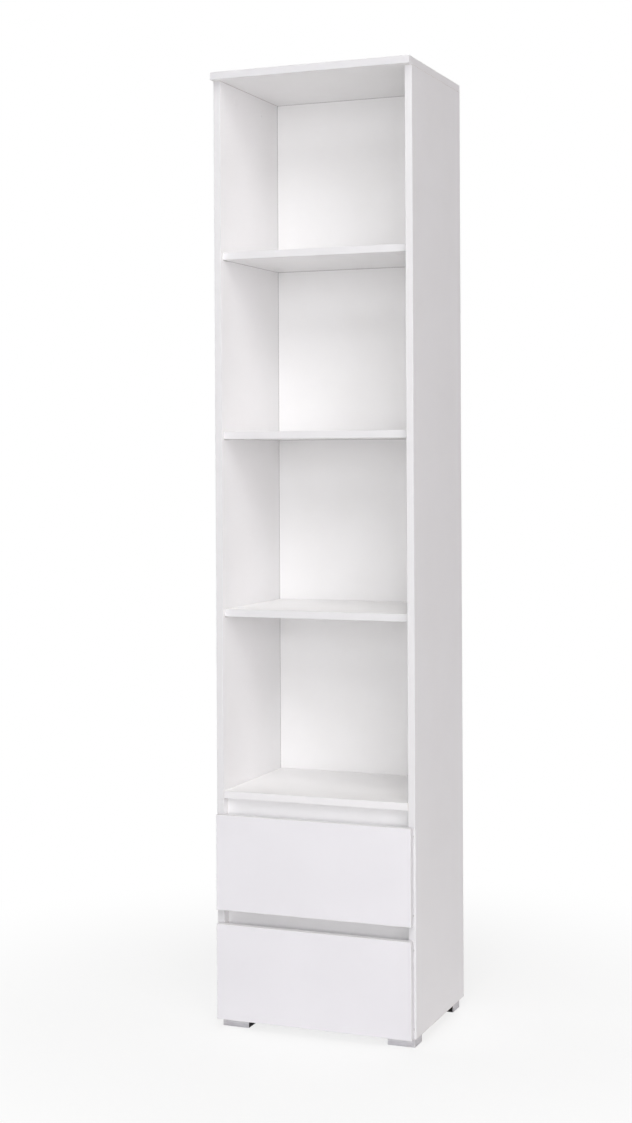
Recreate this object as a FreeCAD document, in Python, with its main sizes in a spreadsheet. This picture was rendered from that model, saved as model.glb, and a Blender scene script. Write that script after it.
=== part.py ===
import FreeCAD, Part
import os
import re
import Sketcher
from types import SimpleNamespace

# A tall, narrow bookcase of white melamine-faced chipboard: four open bays over two drawers.
# Frame: +X to the right, +Y to the back, +Z up. The origin is on the floor, under the middle
# of the whole object. Every length is in millimetres.

# ---------------------------------------------------------------------------------------------
# Driving dimensions: name, value, meaning
# ---------------------------------------------------------------------------------------------
SIZES = [
    ("overall_width", 450, "over the side panels"),
    ("overall_depth", 347, "drawer fronts to the rear edges of the side panels"),
    ("overall_height", 2050, "floor to the top of the top board"),
    ("board", 16, "thickness of the carcass boards"),
    ("arris", 0.8, "rounding of the edge-banded arrises"),
    ("lower_shelf_raise", 4.75, "lower shelf over the place that makes four even bays"),
    ("middle_shelf_raise", 1.5, "the same for the middle shelf"),
    ("upper_shelf_raise", 2.25, "the same for the upper shelf"),
    ("shelf_setback", 12, "shelf edges behind the edges of the side panels"),
    ("shelf_back_gap", 0.5, "shelf to back panel"),
    ("back_thick", 3, "hardboard back panel"),
    ("groove_inset", 12, "board left behind the back panel's groove"),
    ("groove_deep", 6, "depth of each panel groove"),
    ("groove_play", 0.2, "groove width over panel thickness"),
    ("panel_end_play", 1, "panel edge to the floor of its groove"),
    ("front_thick", 16, "thickness of the drawer fronts"),
    ("front_height", 204, "height of one drawer front"),
    ("front_inset", 5, "end of a drawer front to the outside of the side panel"),
    ("finger_gap", 30, "gap between the two drawer fronts"),
    ("deck_gap", 33, "gap between the upper front and the deck"),
    ("bumper_thick", 1, "soft pads between a closed front and the side panels"),
    ("bumper_dia", 8, "diameter of those pads"),
    ("bumper_inset", 20, "pad centre to the top or bottom edge of its front"),
    ("rail_height", 60, "height of the cross rails behind the finger gaps"),
    ("rail_setback", 20, "rails behind the edges of the side panels"),
    ("box_side", 12, "thickness of the drawer sides and backs"),
    ("rail_clear", 12, "drawer sides below the lower edges of the cross rails"),
    ("box_lift", 30, "drawer side's lower edge over its front's lower edge"),
    ("box_arris", 1.5, "rounding along the tops of the drawer sides"),
    ("bottom_thick", 3, "hardboard drawer bottom"),
    ("bottom_rise", 10, "drawer bottom over the lower edge of the drawer side"),
    ("runner_gap", 12.5, "side panel to drawer side, filled by a pair of runners"),
    ("runner_step", 50, "runners come in steps of this length"),
    ("runner_start", 2, "cabinet member behind the edge of the side panel"),
    ("runner_drop", 2, "drawer side's lower edge below the cabinet member"),
    ("flange_gap", 1.8, "drawer member's flange to the cabinet member's upper flange"),
    ("flange_end_gap", 0.8, "flange of one member to the web of the other"),
    ("runner_wrap", 9, "flange under the drawer side"),
    ("steel", 1.2, "sheet thickness of the runners"),
    ("roller_dia", 22, "diameter of a runner roller"),
    ("roller_side", 2.75, "roller to the side panel or to the drawer side"),
    ("roller_play", 0.3, "roller to its track, above and below"),
    ("roller_inset", 14, "roller axis to the end of its member"),
    ("roller_round", 0.6, "chamfer of the roller's rim"),
    ("pin_dia", 5, "roller pin"),
    ("pin_play", 0.1, "roller bore over pin, on the diameter"),
    ("pin_head_dia", 8, "head and shoulder of the roller pin"),
    ("pin_head", 1, "thickness of the roller pin's head"),
    ("pin_recess", 1.6, "depth of the recess for the pin's head"),
    ("recess_play", 1.4, "that recess over the pin's head, on the diameter"),
    ("side_gap", 0.2, "roller to the shoulder and to the head of its pin"),
    ("foot_height", 22, "under the carcass"),
    ("foot_width", 60, "along X, with the trim"),
    ("foot_depth", 45, "along Y, with the trim"),
    ("foot_side_inset", 7, "foot to the outside of the side panel"),
    ("foot_end_inset", 11, "foot to the front or rear edge of the side panel"),
    ("foot_wall", 3, "walls and floor of the hollow foot"),
    ("foot_arris", 1, "rounding of the foot's lower edges"),
    ("boss_dia", 13, "screw pillars inside the foot"),
    ("boss_end_inset", 10.5, "screws of a foot to its front and rear faces"),
    ("boss_shift", 38, "foot's outer side to its screws"),
    ("trim_thick", 1.5, "silver corner trim of the foot"),
    ("trim_floor_gap", 0.5, "trim's lower edge over the floor"),
    ("trim_round", 1.2, "rounding of the trim's corner"),
    ("foot_screw_dia", 4, "wood screw, foot to bottom board"),
    ("foot_screw_bite", 12, "length of that screw in the board"),
    ("foot_head_dia", 8, "head of that screw"),
    ("foot_head", 3, "thickness of that head"),
    ("foot_head_lift", 9, "that head over the floor"),
    ("foot_head_play", 0.5, "bore over that head, on the diameter"),
    ("cam_dia", 15, "bore for a cam lock"),
    ("cam_past", 4.5, "depth of that bore past the middle of a carcass board"),
    ("cam_reach", 34, "end of a carcass board to its cam locks"),
    ("box_cam_past", 3.5, "depth of that bore past the middle of a drawer side"),
    ("box_cam_reach", 24, "front end of a drawer side to its cam locks"),
    ("box_fix_low", 45, "lower cam lock over the drawer side's lower edge"),
    ("box_fix_top", 28, "upper cam lock below the drawer side's upper edge"),
    ("cam_face_gap", 0.2, "cam lock below the face of its board"),
    ("bolt_bore", 8, "bore for a cam bolt along a carcass board"),
    ("bolt_dia", 6.4, "shank and head of a cam bolt"),
    ("bolt_neck_dia", 4, "neck of a cam bolt, inside the cam"),
    ("box_bolt_bore", 7, "bore for a cam bolt along a drawer side"),
    ("box_bolt_dia", 5, "shank and head of a drawer's cam bolt"),
    ("box_bolt_neck_dia", 3, "neck of that bolt"),
    ("thread_dia", 5, "bore for the screwed end of a cam bolt"),
    ("thread_deep", 11, "depth of that bore"),
    ("dowel_dia", 8, "bore for a wood dowel"),
    ("dowel_deep", 11, "dowel bore in the face of a board"),
    ("dowel_end_deep", 24, "dowel bore in the end of a board"),
    ("dowel_pitch", 32, "cam bolt to its dowel"),
    ("rail_dowel_pitch", 16, "the same on the cross rails"),
    ("fix_front", 70, "front fittings behind the edge of the side panel"),
    ("fix_back", 70, "rear fittings in front of the back panel"),
    ("top_fix_shift", 16, "the top board's fittings against those of the shelves"),
    ("fitting_play", 0.1, "bore over fitting, on the diameter"),
    ("screw_play", 0.4, "clearance hole over a screw, on the diameter"),
    ("end_gap", 0.5, "end of a fitting to the floor of its bore"),
    ("bore_past", 1, "screw's bore beyond the end of the screw"),
    ("cross", 4.5, "cross recess of a large screw"),
    ("small_cross", 3.2, "cross recess of a small screw"),
    ("cap_dia", 17, "cover cap over a cam lock"),
    ("cap_thick", 0.6, "thickness of that cap"),
    ("euro_dia", 5, "bore for a runner screw in the side panel"),
    ("euro_deep", 12, "depth of that bore"),
    ("euro_head_dia", 8.5, "head of a runner screw"),
    ("euro_head", 1.1, "thickness of a runner screw's head"),
    ("runner_fix_front", 46, "first runner screw behind the member's front end"),
    ("runner_fix_back", 40, "last runner screw before the member's rear end"),
    ("box_screw_dia", 3, "bore for a runner screw in the drawer side"),
    ("box_screw_deep", 9, "depth of that bore"),
    ("box_screw_head_dia", 6, "head of that screw"),
    ("box_screw_rise", 16, "those screws over the cabinet member's lower edge"),
    ("box_screw_front", 62, "first such screw behind the drawer member's front end"),
    ("box_screw_back", 80, "last such screw before the drawer member's rear end"),
    ("back_screw_dia", 5, "screw through a drawer side into the drawer back"),
    ("back_screw_bite", 30, "length of that screw in the drawer back"),
    ("back_head_dia", 9, "head of that screw"),
    ("back_head", 3, "thickness of that head, let in flush"),
    ("back_head_play", 0.3, "bore over that head, on the diameter"),
    ("back_fix_low", 42, "lower such screw over the drawer side's lower edge"),
    ("back_fix_top", 27, "upper such screw below the drawer side's upper edge"),
]

# Places worked out from the driving dimensions: name, formula
PLACES = [
    ("inner_width", "overall_width - 2 * board"),
    ("carcass_back", "overall_depth / 2"),
    ("carcass_front", "-overall_depth / 2 + front_thick + bumper_thick"),
    ("side_depth", "carcass_back - carcass_front"),
    ("side_height", "overall_height - foot_height - board"),
    ("top_z", "overall_height - board"),
    ("back_y", "carcass_back - groove_inset - back_thick"),
    ("board_back", "back_y - shelf_back_gap"),
    ("shelf_y", "carcass_front + shelf_setback"),
    ("lower_front_z", "foot_height"),
    ("upper_front_z", "foot_height + front_height + finger_gap"),
    ("deck_z", "upper_front_z + front_height + deck_gap"),
    ("shelf_pitch", "(top_z - deck_z) / 4"),
    ("lower_shelf_z", "deck_z + shelf_pitch + lower_shelf_raise"),
    ("middle_shelf_z", "deck_z + 2 * shelf_pitch + middle_shelf_raise"),
    ("upper_shelf_z", "deck_z + 3 * shelf_pitch + upper_shelf_raise"),
    ("rail_y", "carcass_front + rail_setback"),
    ("lower_rail_z", "upper_front_z - finger_gap / 2 - rail_height / 2"),
    ("upper_rail_z", "deck_z - rail_height"),
    ("lower_room", "lower_rail_z - lower_front_z"),
    ("upper_room", "upper_rail_z - upper_front_z"),
    ("box_height", "min(lower_room; upper_room) - box_lift - rail_clear"),
    ("box_fix_high", "box_height - box_fix_top"),
    ("back_fix_high", "box_height - back_fix_top"),
    ("fix_front_y", "carcass_front + fix_front"),
    ("fix_back_y", "back_y - fix_back"),
    ("dowel_front_y", "fix_front_y + dowel_pitch"),
    ("dowel_back_y", "fix_back_y - dowel_pitch"),
    ("box_width", "inner_width - 2 * runner_gap"),
    ("box_y", "carcass_front - bumper_thick"),
    ("runner_y", "carcass_front + runner_start"),
    ("runner_length", "floor((back_y - runner_y) / runner_step) * runner_step"),
    ("box_inner", "box_width - 2 * box_side"),
    ("tongue", "groove_deep - panel_end_play"),
    ("runner_rise", "box_lift + runner_drop"),
    ("runner_reach", "runner_gap - 2 * steel - flange_end_gap"),
    ("roller_width", "runner_gap - 2 * roller_side"),
    ("roller_axis", "steel + roller_play + roller_dia / 2"),
    ("flange_rise", "steel + 2 * roller_play + roller_dia"),
    ("runner_height", "flange_rise + 2 * steel + flange_gap"),
    ("cam_deep", "board / 2 + cam_past"),
    ("box_cam_deep", "box_side / 2 + box_cam_past"),
    ("boss_pitch", "foot_depth - 2 * boss_end_inset"),
]

SHELVES = ["lower_shelf", "middle_shelf", "upper_shelf"]
DRAWERS = ["lower", "upper"]
SIDES = {"left": -1, "right": 1}
ENDS = {"front": -1, "back": 1}

doc = FreeCAD.newDocument("Bookcase")
sheet = doc.addObject("Spreadsheet::Sheet", "Sizes")
subparts = []


def fill_sheet():
    """Write the driving dimensions, then the places worked out from them."""
    row = 1
    for name, number, meaning in SIZES:
        sheet.set(f"A{row}", name)
        sheet.set(f"B{row}", str(number))
        sheet.set(f"C{row}", meaning)
        sheet.setAlias(f"B{row}", name)
        row += 1
    for name, formula in PLACES:
        sheet.set(f"A{row}", name)
        sheet.set(f"B{row}", "=" + formula)
        sheet.setAlias(f"B{row}", name)
        row += 1
    doc.recompute()


fill_sheet()
NAMES = {name for name, *rest in SIZES + PLACES}
size = SimpleNamespace(**{name: float(getattr(sheet, name)) for name in NAMES})


def bound(text):
    """Turn a formula in the names above into an expression that reads the sheet."""
    return re.sub(r"[a-z_]+", lambda word: "Sizes." + word[0] if word[0] in NAMES else word[0], text)


# ---------------------------------------------------------------------------------------------
# Sketches and features. A position is a formula, in the body's own frame.
# ---------------------------------------------------------------------------------------------
# Each origin plane's normal runs along the axis that its sketches leave out; that of XZ runs to -Y.
NORMAL_SIGN = {"XY": 1, "YZ": 1, "XZ": -1}
# Two places closer than this are the same place.
NEAR = 1e-6
# The smallest volume that a cut is expected to take away.
SMALLEST_CUT = 0.1


def start_body(label, x, y, z):
    """A body whose own frame stands at (x, y, z)."""
    body = doc.addObject("PartDesign::Body", label)
    body.Label = label
    for axis, place in zip("xyz", (x, y, z)):
        body.setExpression(f"Placement.Base.{axis}", bound(place))
    subparts.append(body)
    return body


def start_sketch(body, name, plane, offset="0"):
    """A sketch on one of the body's origin planes, moved along the axis across it."""
    sketch = body.newObject("Sketcher::SketchObject", name)
    roles = {feature.Role: feature for feature in body.Origin.OriginFeatures}
    sketch.AttachmentSupport = [(roles[plane + "_Plane"], "")]
    sketch.MapMode = "FlatFace"
    sketch.setExpression("AttachmentOffset.Base.z", bound(f"{NORMAL_SIGN[plane]} * ({offset})"))
    return sketch


def place_point(sketch, geometry, point, u, v):
    """Fix one point of the sketch at (u, v) from its origin."""
    for kind, place in (("DistanceX", u), ("DistanceY", v)):
        index = sketch.addConstraint(Sketcher.Constraint(kind, -1, 1, geometry, point, 1.0))
        sketch.setExpression(f"Constraints[{index}]", bound(place))


def draw_outline(sketch, corners):
    """A closed outline of straight lines through the corners."""
    first = sketch.GeometryCount
    count = len(corners)
    rough = [FreeCAD.Vector(*(estimate(place) for place in corner), 0) for corner in corners]
    for index in range(count):
        line = Part.LineSegment(rough[index], rough[(index + 1) % count])
        sketch.addGeometry(line, False)
    for index in range(count):
        after = first + (index + 1) % count
        sketch.addConstraint(Sketcher.Constraint("Coincident", first + index, 2, after, 1))
    for index, (u, v) in enumerate(corners):
        place_point(sketch, first + index, 1, u, v)


def draw_rectangle(sketch, u0, v0, u1, v1):
    """A rectangle between two opposite corners."""
    draw_outline(sketch, [(u0, v0), (u1, v0), (u1, v1), (u0, v1)])


def draw_circle(sketch, u, v, diameter):
    """A circle about (u, v)."""
    centre = FreeCAD.Vector(estimate(u), estimate(v), 0)
    circle = Part.Circle(centre, FreeCAD.Vector(0, 0, 1), estimate(diameter) / 2)
    index = sketch.addGeometry(circle, False)
    place_point(sketch, index, 3, u, v)
    diameter_index = sketch.addConstraint(Sketcher.Constraint("Diameter", index, 1.0))
    sketch.setExpression(f"Constraints[{diameter_index}]", bound(diameter))


def estimate(formula):
    """The formula's value, which places a sketch's geometry before its constraints are solved."""
    return float(sheet.evalExpression(bound(formula).replace("Sizes.", "")))


def pad(body, sketch, length, towards=1):
    """Material from the sketch, towards +1 or -1 along the axis across its plane."""
    feature = body.newObject("PartDesign::Pad", sketch.Name + "_pad")
    feature.Profile = sketch
    feature.setExpression("Length", bound(length))
    feature.Reversed = plane_sign(sketch) != towards
    sketch.Visibility = False
    return feature


def pocket(body, sketch, depth, towards):
    """A cut from the sketch, towards +1 or -1 along the axis across its plane."""
    feature = body.newObject("PartDesign::Pocket", sketch.Name + "_cut")
    feature.Profile = sketch
    feature.setExpression("Length", bound(depth))
    feature.Reversed = plane_sign(sketch) == towards
    sketch.Visibility = False
    return feature


def plane_sign(sketch):
    """The direction of the normal of the sketch's plane along its axis."""
    role = sketch.AttachmentSupport[0][0].Role
    return NORMAL_SIGN[role.split("_")[0]]


def bore(body, name, plane, offset, towards, points, diameter, depth):
    """Equal round bores at the points, from a face at the offset."""
    sketch = start_sketch(body, f"{body.Label}_{name}", plane, offset)
    for u, v in points:
        draw_circle(sketch, u, v, diameter)
    return pocket(body, sketch, depth, towards)


def groove(body, name, plane, offset, towards, corners, depth):
    """A rectangular groove, from a face at the offset."""
    sketch = start_sketch(body, f"{body.Label}_{name}", plane, offset)
    draw_rectangle(sketch, *corners)
    return pocket(body, sketch, depth, towards)


def block(label, x, y, z, length_x, length_y, length_z, thin):
    """A board: a rectangle padded by its thickness along the axis named thin."""
    body = start_body(label, x, y, z)
    plane, first, second, thickness = {
        "x": ("YZ", length_y, length_z, length_x),
        "y": ("XZ", length_x, length_z, length_y),
        "z": ("XY", length_x, length_y, length_z),
    }[thin]
    sketch = start_sketch(body, label + "_face", plane)
    draw_rectangle(sketch, "0", "0", first, second)
    pad(body, sketch, thickness)
    doc.recompute()
    return body


def edge_names(body, axis, where):
    """The body's straight edges along an axis whose middles satisfy where(x, y, z)."""
    names = []
    for index, edge in enumerate(body.Tip.Shape.Edges, 1):
        run = edge.Vertexes[-1].Point - edge.Vertexes[0].Point
        straight = abs(getattr(run, axis)) > edge.Length - NEAR
        if straight and where(*edge.CenterOfMass):
            names.append(f"Edge{index}")
    return names


def round_edges(body, names, radius):
    """Round the named edges of the body's last feature."""
    base = body.Tip
    feature = body.newObject("PartDesign::Fillet", body.Label + "_rounding")
    feature.Base = (base, names)
    feature.setExpression("Radius", bound(radius))
    doc.recompute()
    return feature


def anywhere(x, y, z):
    """Every edge."""
    return True


def at_front(x, y, z):
    """Edges in the plane y = 0 of the body's own frame."""
    return abs(y) < NEAR


def round_all(body, radius):
    """Round every edge of a plain block."""
    names = [name for axis in "xyz" for name in edge_names(body, axis, anywhere)]
    return round_edges(body, names, radius)


# ---------------------------------------------------------------------------------------------
# Carcass boards
# ---------------------------------------------------------------------------------------------
def make_inner_board(label, front, height):
    """A board between the side panels, held at each end by two cam locks and two dowels."""
    depth = f"board_back - ({front})"
    body = block(label, "-inner_width / 2", front, height, "inner_width", depth, "board", "z")
    round_edges(body, edge_names(body, "x", at_front), "arris")
    fix_rows = [f"fix_front_y - ({front})", f"fix_back_y - ({front})"]
    dowel_rows = [f"dowel_front_y - ({front})", f"dowel_back_y - ({front})"]
    cams = [(x, y) for x in ("cam_reach", "inner_width - cam_reach") for y in fix_rows]
    bore(body, "cams", "XY", "0", 1, cams, "cam_dia", "cam_deep")
    for side, offset, towards in (("left", "0", 1), ("right", "inner_width", -1)):
        bolts = [(y, "board / 2") for y in fix_rows]
        dowels = [(y, "board / 2") for y in dowel_rows]
        bore(body, side + "_bolts", "YZ", offset, towards, bolts, "bolt_bore", "cam_reach")
        bore(body, side + "_dowels", "YZ", offset, towards, dowels, "dowel_dia", "dowel_end_deep")
    return body


def make_side_panel(side):
    """An upright panel, bored for the boards, rails and runners that it carries."""
    sign = SIDES[side]
    label = f"side_panel_{side}"
    outer = "-overall_width / 2" if sign < 0 else "inner_width / 2"
    body = block(label, outer, "carcass_front", "foot_height", "board", "side_depth", "side_height", "x")
    round_edges(body, edge_names(body, "z", anywhere), "arris")
    face, inward = ("board", -1) if sign < 0 else ("0", 1)
    back = "(back_y - carcass_front - groove_play / 2)"
    slot = (back, "0", f"{back} + back_thick + groove_play", "side_height")
    groove(body, "groove", "YZ", face, inward, slot, "groove_deep")
    fix_rows = ["fix_front_y - carcass_front", "fix_back_y - carcass_front"]
    dowel_rows = ["dowel_front_y - carcass_front", "dowel_back_y - carcass_front"]
    middles = [f"{name}_z - foot_height + board / 2" for name in SHELVES + ["deck"]] + ["board / 2"]
    bolts = [(y, z) for z in middles for y in fix_rows]
    dowels = [(y, z) for z in middles for y in dowel_rows]
    screws = []
    for drawer in DRAWERS:
        rail = f"{drawer}_rail_z - foot_height + rail_height / 2"
        rail_middle = "rail_y - carcass_front + board / 2"
        bolts.append((rail_middle, rail))
        dowels += [(rail_middle, f"{rail} {step} rail_dowel_pitch") for step in "+-"]
        height = f"{drawer}_front_z - foot_height + runner_rise + runner_height / 2"
        screws += [(f"runner_start + {place}", height) for place in runner_screws()]
    bore(body, "threads", "YZ", face, inward, bolts, "thread_dia", "thread_deep")
    bore(body, "dowels", "YZ", face, inward, dowels, "dowel_dia", "dowel_deep")
    bore(body, "runner_screws", "YZ", face, inward, screws, "euro_dia", "euro_deep")
    top_fixes = [f"{fix_rows[0]} + top_fix_shift", f"{fix_rows[1]} - top_fix_shift"]
    top_dowels = [f"{dowel_rows[0]} + top_fix_shift", f"{dowel_rows[1]} - top_fix_shift"]
    cams = [(y, "side_height - cam_reach") for y in top_fixes]
    bore(body, "cams", "YZ", face, inward, cams, "cam_dia", "cam_deep")
    up_bolts = [("board / 2", y) for y in top_fixes]
    up_dowels = [("board / 2", y) for y in top_dowels]
    bore(body, "top_bolts", "XY", "side_height", -1, up_bolts, "bolt_bore", "cam_reach")
    bore(body, "top_dowels", "XY", "side_height", -1, up_dowels, "dowel_dia", "dowel_end_deep")
    return body


def runner_screws():
    """The runner screws' places along the cabinet member."""
    return ["runner_fix_front", "runner_length - runner_fix_back"]


def make_top_board():
    """The top board lies on both side panels and stands out as far as the drawer fronts."""
    body = block("top_board", "-overall_width / 2", "-overall_depth / 2", "top_z",
                 "overall_width", "overall_depth", "board", "z")
    round_all(body, "arris")
    back = "(back_y + overall_depth / 2 - groove_play / 2)"
    slot = ("board - groove_deep", back,
            "overall_width - board + groove_deep", f"{back} + back_thick + groove_play")
    groove(body, "groove", "XY", "0", 1, slot, "groove_deep")
    columns = ["board / 2", "overall_width - board / 2"]
    shifts = [("fix_front_y + overall_depth / 2 + top_fix_shift", "dowel_pitch"),
              ("fix_back_y + overall_depth / 2 - top_fix_shift", "-dowel_pitch")]
    threads = [(x, fix) for x in columns for fix, step in shifts]
    dowels = [(x, f"{fix} + {step}") for x in columns for fix, step in shifts]
    bore(body, "threads", "XY", "0", 1, threads, "thread_dia", "thread_deep")
    bore(body, "dowels", "XY", "0", 1, dowels, "dowel_dia", "dowel_deep")
    return body


def make_bottom_board():
    """The bottom board is an inner board that also takes the screws of the feet."""
    body = make_inner_board("bottom_board", "carcass_front", "foot_height")
    points = [(f"{x} + inner_width / 2", f"{y} - carcass_front")
              for side in SIDES for end in ENDS for x, y in foot_screw_places(side, end)]
    bore(body, "foot_screws", "XY", "0", 1, points, "foot_screw_dia", "foot_screw_bite + bore_past")
    return body


def make_back_panel():
    """The hardboard back stands in grooves in the side panels and in the top board."""
    width = "inner_width + 2 * tongue"
    return block("back_panel", "-inner_width / 2 - tongue", "back_y", "foot_height",
                 width, "back_thick", "side_height + tongue", "y")


def make_rail(drawer):
    """A cross rail behind a finger gap, with one cam lock and two dowels at each end."""
    body = block(f"{drawer}_rail", "-inner_width / 2", "rail_y", f"{drawer}_rail_z",
                 "inner_width", "board", "rail_height", "y")
    round_edges(body, edge_names(body, "x", anywhere), "arris")
    middle = "rail_height / 2"
    cams = [(x, middle) for x in ("cam_reach", "inner_width - cam_reach")]
    bore(body, "cams", "XZ", "board", -1, cams, "cam_dia", "cam_deep")
    dowels = [("board / 2", f"{middle} {step} rail_dowel_pitch") for step in "+-"]
    bolt = [("board / 2", middle)]
    for side, offset, towards in (("left", "0", 1), ("right", "inner_width", -1)):
        bore(body, side + "_bolt", "YZ", offset, towards, bolt, "bolt_bore", "cam_reach")
        bore(body, side + "_dowels", "YZ", offset, towards, dowels, "dowel_dia", "dowel_end_deep")
    return body


# ---------------------------------------------------------------------------------------------
# Feet
# ---------------------------------------------------------------------------------------------
def foot_corner(side, end):
    """The outer corner of a foot, which is also the corner of its trim."""
    x = f"{SIDES[side]} * (overall_width / 2 - foot_side_inset)"
    y = "carcass_front + foot_end_inset" if end == "front" else "carcass_back - foot_end_inset"
    return x, y


def foot_screw_places(side, end):
    """The two screws of a foot."""
    x, y = foot_corner(side, end)
    column = f"{x} - {SIDES[side]} * boss_shift"
    middle = f"{y} - {ENDS[end]} * foot_depth / 2"
    return [(column, f"{middle} {step} boss_pitch / 2") for step in "+-"]


def make_foot(side, end):
    """A hollow black plastic foot with two screw pillars."""
    x, y = foot_corner(side, end)
    body = start_body(f"foot_{end}_{side}", x, y, "0")
    across, along = -SIDES[side], -ENDS[end]
    rim = start_sketch(body, body.Label + "_rim", "XY")
    draw_rectangle(rim, f"{across} * trim_thick", f"{along} * trim_thick",
                   f"{across} * foot_width", f"{along} * foot_depth")
    pad(body, rim, "foot_height")
    doc.recompute()
    lower = [name for axis in "xy" for name in edge_names(body, axis, lambda x, y, z: abs(z) < NEAR)]
    round_edges(body, lower, "foot_arris")
    middle = f"{along} * foot_depth / 2"
    screws = [(f"{across} * boss_shift", f"{middle} {step} boss_pitch / 2") for step in "+-"]
    hollow = start_sketch(body, body.Label + "_hollow", "XY", "foot_height")
    wall = "(trim_thick + foot_wall)"
    draw_rectangle(hollow, f"{across} * {wall}", f"{along} * {wall}",
                   f"{across} * (foot_width - foot_wall)", f"{along} * (foot_depth - foot_wall)")
    pocket(body, hollow, "foot_height - foot_wall", -1)
    pillars = start_sketch(body, body.Label + "_pillars", "XY", "foot_wall")
    for u, v in screws:
        draw_circle(pillars, u, v, "boss_dia")
    pad(body, pillars, "foot_height - foot_wall")
    head_bore = "foot_head_dia + foot_head_play"
    bore(body, "heads", "XY", "0", 1, screws, head_bore, "foot_head_lift + foot_head")
    bore(body, "shanks", "XY", "0", 1, screws, "foot_screw_dia + screw_play", "foot_height")
    return body


def make_foot_trim(side, end):
    """A silver corner trim round the two outward faces of a foot."""
    x, y = foot_corner(side, end)
    body = start_body(f"foot_trim_{end}_{side}", x, y, "trim_floor_gap")
    across, along = -SIDES[side], -ENDS[end]
    corner = start_sketch(body, body.Label + "_corner", "XY")
    draw_outline(corner, [
        ("0", "0"),
        (f"{across} * foot_width", "0"),
        (f"{across} * foot_width", f"{along} * trim_thick"),
        (f"{across} * trim_thick", f"{along} * trim_thick"),
        (f"{across} * trim_thick", f"{along} * foot_depth"),
        ("0", f"{along} * foot_depth"),
    ])
    pad(body, corner, "foot_height - trim_floor_gap")
    doc.recompute()
    outer = edge_names(body, "z", lambda x, y, z: abs(x) < NEAR and abs(y) < NEAR)
    round_edges(body, outer, "trim_round")
    return body


# ---------------------------------------------------------------------------------------------
# Roller runners: a cabinet member with a roller at its front end, and a drawer member with a
# roller at its rear end. Across is the distance from the side panel towards the drawer.
# ---------------------------------------------------------------------------------------------
def add_roller_pin(body, web, along, height, direction):
    """A shouldered pin from the face of a web; direction is the way it points along X."""
    reach = "(roller_side - steel)"
    stages = [
        ("shoulder", "0", "pin_head_dia", f"{reach} - side_gap"),
        ("shank", f"{reach} - side_gap", "pin_dia", "roller_width - pin_recess + 2 * side_gap"),
        ("head", f"{reach} + roller_width - pin_recess + side_gap", "pin_head_dia", "pin_head"),
    ]
    for name, start, diameter, length in stages:
        offset = f"{web} + {direction} * ({start})"
        sketch = start_sketch(body, f"{body.Label}_pin_{name}", "YZ", offset)
        draw_circle(sketch, along, height, diameter)
        pad(body, sketch, length, direction)


def make_cabinet_runner(drawer, side):
    """A channel of sheet steel on the side panel; its lower flange is the track."""
    sign = SIDES[side]
    body = start_body(f"{drawer}_cabinet_runner_{side}", f"{sign} * inner_width / 2", "runner_y",
                      f"{drawer}_front_z + runner_rise")
    reach = f"{-sign} * (steel + runner_reach)"
    web = f"{-sign} * steel"
    channel = start_sketch(body, body.Label + "_channel", "XZ")
    draw_outline(channel, [
        ("0", "0"), (reach, "0"), (reach, "steel"), (web, "steel"),
        (web, "runner_height - steel"), (reach, "runner_height - steel"),
        (reach, "runner_height"), ("0", "runner_height"),
    ])
    pad(body, channel, "runner_length")
    doc.recompute()
    points = [(place, "runner_height / 2") for place in runner_screws()]
    bore(body, "screws", "YZ", "0", -sign, points, "euro_dia + screw_play", "2 * steel")
    add_roller_pin(body, web, "roller_inset", "roller_axis", -sign)
    return body


def make_drawer_runner(drawer, side):
    """A steel angle on the drawer side; its outward flange rides on the cabinet's roller."""
    sign = SIDES[side]
    body = start_body(f"{drawer}_drawer_runner_{side}", f"{sign} * box_width / 2", "box_y",
                      f"{drawer}_front_z + runner_rise")
    face = f"{sign} * steel"
    under = f"{-sign} * runner_wrap"
    reach = f"{sign} * (steel + runner_reach)"
    profile = start_sketch(body, body.Label + "_profile", "XZ")
    draw_outline(profile, [
        (face, "-runner_drop - steel"), (under, "-runner_drop - steel"), (under, "-runner_drop"),
        ("0", "-runner_drop"), ("0", "flange_rise + steel"), (reach, "flange_rise + steel"),
        (reach, "flange_rise"), (face, "flange_rise"),
    ])
    pad(body, profile, "runner_length")
    doc.recompute()
    points = [(place, "box_screw_rise") for place in box_screw_places()]
    bore(body, "screws", "YZ", "0", sign, points, "box_screw_dia + screw_play", "2 * steel")
    add_roller_pin(body, face, "runner_length - roller_inset", "roller_axis", sign)
    return body


def box_screw_places():
    """The runner screws' places along the drawer member."""
    return ["box_screw_front", "runner_length - box_screw_back"]


def make_roller(label, x, y, drawer, direction):
    """A nylon roller on its pin; direction is the way the pin points along X."""
    body = start_body(label, x, y, f"{drawer}_front_z + runner_rise + roller_axis")
    hub = "(pin_dia + pin_play) / 2"
    recess = "(pin_head_dia + recess_play) / 2"
    floor = f"{direction} * (roller_width - pin_recess)"
    far = f"{direction} * roller_width"
    section = start_sketch(body, label + "_section", "XZ")
    draw_outline(section, [
        ("0", hub), (floor, hub), (floor, recess), (far, recess),
        (far, "roller_dia / 2 - roller_round"),
        (f"{direction} * (roller_width - roller_round)", "roller_dia / 2"),
        (f"{direction} * roller_round", "roller_dia / 2"),
        ("0", "roller_dia / 2 - roller_round"),
    ])
    roles = {feature.Role: feature for feature in body.Origin.OriginFeatures}
    turned = body.newObject("PartDesign::Revolution", label + "_turned")
    turned.Profile = section
    turned.ReferenceAxis = (roles["X_Axis"], [""])
    turned.Angle = 360
    section.Visibility = False
    return body


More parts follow.
